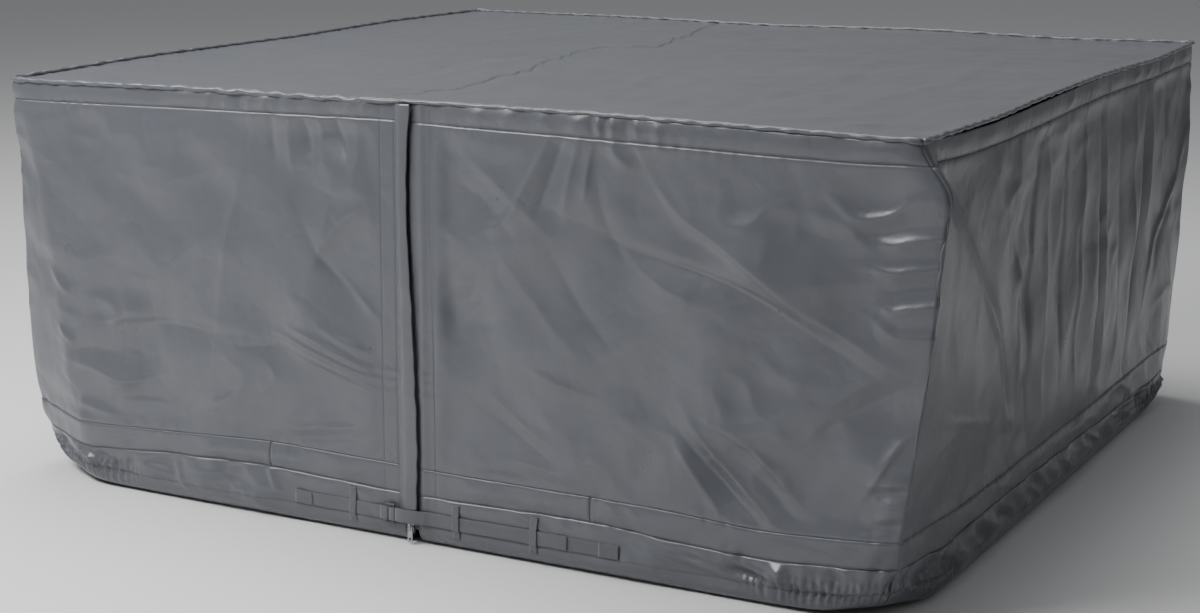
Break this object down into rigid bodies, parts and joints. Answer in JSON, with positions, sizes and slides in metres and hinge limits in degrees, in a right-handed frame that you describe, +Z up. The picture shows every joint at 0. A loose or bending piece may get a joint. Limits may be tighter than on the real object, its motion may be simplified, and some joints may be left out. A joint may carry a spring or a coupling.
{
  "type": "spa cover",
  "caption": "Fitted fabric cover for a square spa, open below, with lined walls, a front zip under a flap, an elasticated skirt, and a strap with a slide buckle over the zip.",
  "frame": {"origin": "on the floor, under the middle of the cover", "axes": "+Z up; +X along the front from left to right as seen from the front; +Y from the front to the back"},
  "size_m": [1.812, 1.7286, 0.78],
  "materials": {
    "shell_fabric": "satin coated polyester, slightly bluish grey",
    "band_fabric": "the same coated polyester, sewn double",
    "lining": "light grey padded thermal lining, quilted",
    "elastic": "matte woven elastic",
    "zip_tape": "matte woven tape",
    "zip_teeth": "satin moulded acetal",
    "zip_metal": "satin painted zinc",
    "moulded_plastic": "satin moulded acetal",
    "webbing": "matte woven polyester webbing"
  },
  "bodies": {
    "cover": {"top_panel_left": "shell_fabric", "top_panel_right": "shell_fabric", "top_seam_tape": "band_fabric", "edge_welt_front": "band_fabric", "edge_welt_right": "band_fabric", "edge_welt_back": "band_fabric", "edge_welt_left": "band_fabric", "upper_band_front_left": "band_fabric", "upper_band_front_right": "band_fabric", "upper_band_right": "band_fabric", "upper_band_back": "band_fabric", "upper_band_left": "band_fabric", "wall_front_left": "shell_fabric", "wall_front_right": "shell_fabric", "wall_right": "shell_fabric", "wall_back": "shell_fabric", "wall_left": "shell_fabric", "lining_front_left": "lining", "lining_front_right": "lining", "lining_right": "lining", "lining_back": "lining", "lining_left": "lining", "lower_band_front_left_outer": "band_fabric", "lower_band_front_left_inner": "band_fabric", "lower_band_front_right_inner": "band_fabric", "lower_band_front_right_outer": "band_fabric", "lower_band_right": "band_fabric", "lower_band_back": "band_fabric", "lower_band_left": "band_fabric", "skirt_front_left": "shell_fabric", "skirt_front_right": "shell_fabric", "skirt_right": "shell_fabric", "skirt_back": "shell_fabric", "skirt_left": "shell_fabric", "hem_elastic_front_left": "elastic", "hem_elastic_front_right": "elastic", "hem_elastic_back_left": "elastic", "hem_elastic_back_right": "elastic", "zip_tape_left": "zip_tape", "zip_tape_right": "zip_tape", "zip_teeth_left": "zip_teeth", "zip_teeth_right": "zip_teeth", "zip_top_stop": "zip_metal", "zip_end_stop": "zip_metal", "zip_flap_foot": "shell_fabric", "anchor_strap": "webbing", "long_strap": "webbing", "strap_tail": "webbing", "belt_loop_left": "webbing", "belt_loop_middle": "webbing", "belt_loop_right": "webbing"},
    "zip_slider": {"zip_slider": "zip_metal"},
    "zip_pull": {"zip_pull_tab": "moulded_plastic"},
    "flap": {"zip_flap": "shell_fabric"},
    "buckle": {"ladder_buckle": "moulded_plastic", "strap_turn": "webbing"}
  },
  "joints": [
    {"name": "zip_slide", "type": "slide", "parent": "cover", "child": "zip_slider", "axis": [0, 0, 1], "range_m": [0, 0.69]},
    {"name": "pull_tab_swing", "type": "hinge", "parent": "zip_slider", "child": "zip_pull", "pos_m": [-0.016, -0.8586, 0.033], "axis": [-1, 0, 0], "range_deg": [0, 80], "deforming": ["zip_flap"]},
    {"name": "flap_open", "type": "hinge", "parent": "cover", "child": "flap", "pos_m": [-0.036, -0.857, 0.4], "axis": [0, 0, -1], "range_deg": [0, 125]},
    {"name": "buckle_tilt", "type": "hinge", "parent": "cover", "child": "buckle", "pos_m": [-0.062, -0.8615, 0.052], "axis": [0, 0, -1], "range_deg": [0, 40]}
  ]
}
